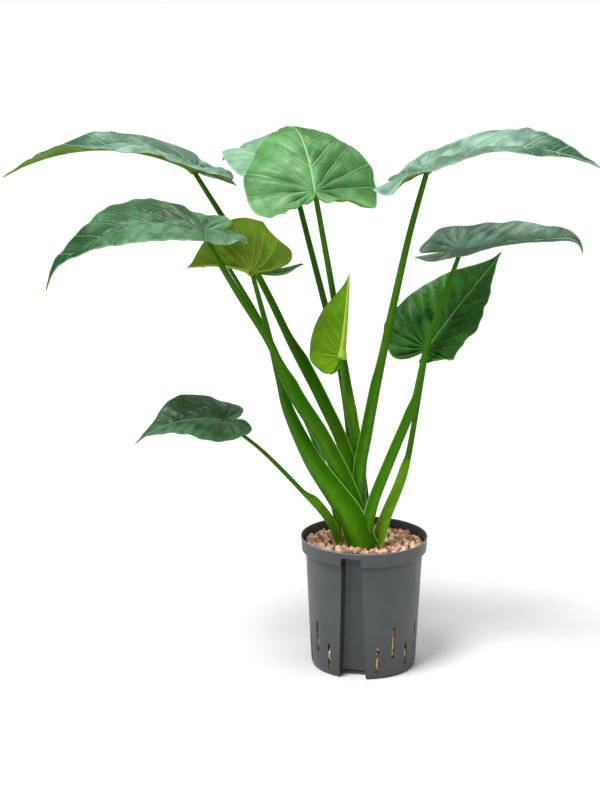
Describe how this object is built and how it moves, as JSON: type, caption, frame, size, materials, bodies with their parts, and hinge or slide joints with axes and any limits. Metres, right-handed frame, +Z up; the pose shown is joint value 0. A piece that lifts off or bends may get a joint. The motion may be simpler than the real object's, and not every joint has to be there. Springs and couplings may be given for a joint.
{
  "type": "potted alocasia",
  "caption": "Leafy aroid plant with heart-shaped leaves on long sheathed stalks, standing in a round culture pot of clay granules with a grooved front and drain slots.",
  "frame": {"origin": "centre of the pot's flat underside, on the floor", "axes": "+Z up, -Y out of the pot's front, where its groove is, +X to the right seen from the front"},
  "size_m": [0.801, 0.3864, 0.767],
  "materials": {
    "pot_plastic": "dark grey moulded plastic, satin",
    "expanded_clay": "rough fired clay granules",
    "rootstock": "matt fibrous rootstock",
    "leaf": "waxy blue-green leaf with pale veins",
    "young_leaf": "fresh bright green leaf",
    "stalk": "smooth green stalk, satin"
  },
  "bodies": {
    "root": {"pot": "pot_plastic", "clay_granules": "expanded_clay", "corm": "rootstock", "leaf_1_blade": "leaf", "leaf_1_stalk": "stalk", "leaf_2_blade": "leaf", "leaf_2_stalk": "stalk", "leaf_3_blade": "leaf", "leaf_3_stalk": "stalk", "leaf_4_blade": "leaf", "leaf_4_stalk": "stalk", "leaf_5_blade": "leaf", "leaf_5_stalk": "stalk", "leaf_6_blade": "leaf", "leaf_6_stalk": "stalk", "leaf_7_blade": "leaf", "leaf_7_stalk": "stalk", "leaf_8_blade": "leaf", "leaf_8_stalk": "stalk", "leaf_9_blade": "leaf", "leaf_9_stalk": "stalk", "leaf_10_blade": "young_leaf", "leaf_10_stalk": "stalk", "leaf_11_blade": "leaf", "leaf_11_stalk": "stalk"}
  },
  "joints": []
}
